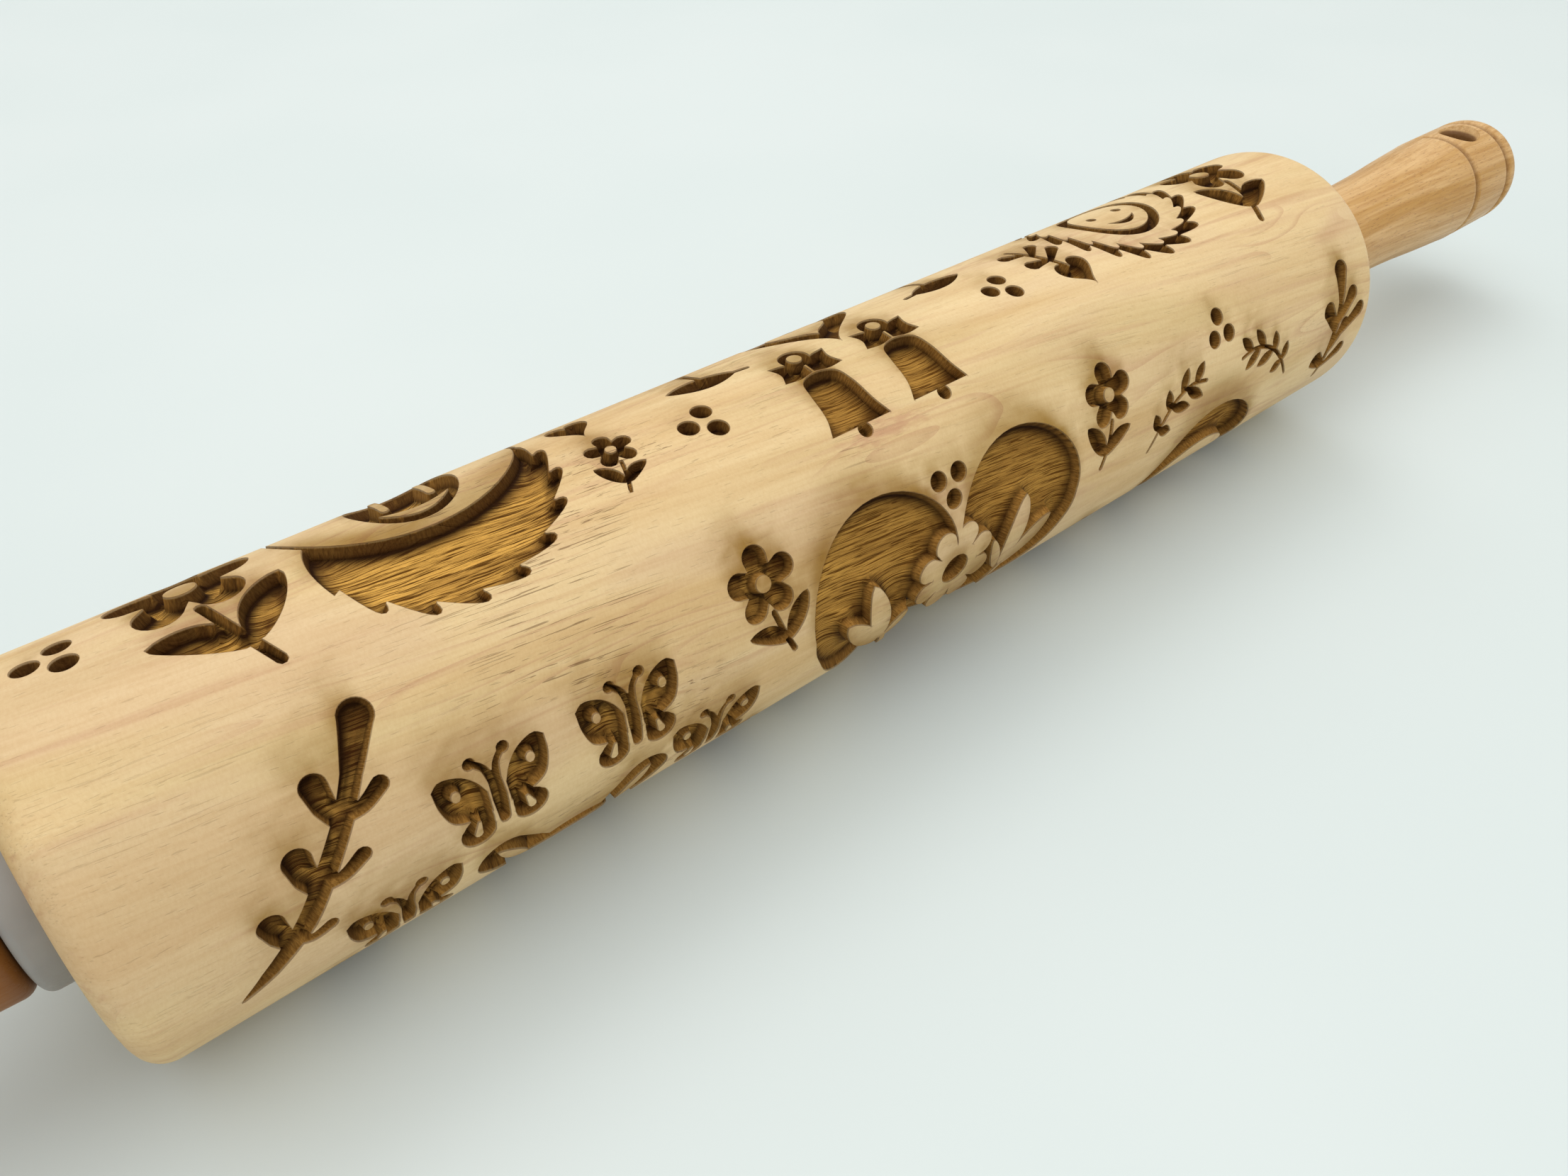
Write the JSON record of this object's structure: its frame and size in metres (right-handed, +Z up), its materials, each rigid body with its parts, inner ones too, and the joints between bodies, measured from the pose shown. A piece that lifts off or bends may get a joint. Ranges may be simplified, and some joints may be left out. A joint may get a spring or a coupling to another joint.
{
  "type": "engraved rolling pin",
  "caption": "Wooden rolling pin whose barrel, engraved with repeating folk motifs, spins on an axle between two turned handles.",
  "frame": {"origin": "under the middle of the barrel, on the surface the pin rests on", "axes": "+X along the axle towards the handle with the hanging hole, +Z up"},
  "size_m": [0.4612, 0.056, 0.0558],
  "materials": {
    "engraved_wood": "pale bare hardwood, turned and laser engraved with burnt pocket floors",
    "handle_wood": "turned beech, thinly varnished",
    "bush_nylon": "moulded white nylon",
    "axle_steel": "bright drawn steel"
  },
  "bodies": {
    "axle": {"axle_rod": "axle_steel", "left_handle": "handle_wood", "right_handle": "handle_wood", "left_insert": "axle_steel", "right_insert": "axle_steel", "left_washer": "axle_steel", "right_washer": "axle_steel", "left_ring": "axle_steel", "right_ring": "axle_steel"},
    "roller": {"barrel": "engraved_wood", "left_bush": "bush_nylon", "right_bush": "bush_nylon"}
  },
  "joints": [
    {"name": "barrel_spin", "type": "hinge", "parent": "axle", "child": "roller", "pos_m": [0, 0, 0.02785], "axis": [1, 0, 0], "continuous": true}
  ]
}
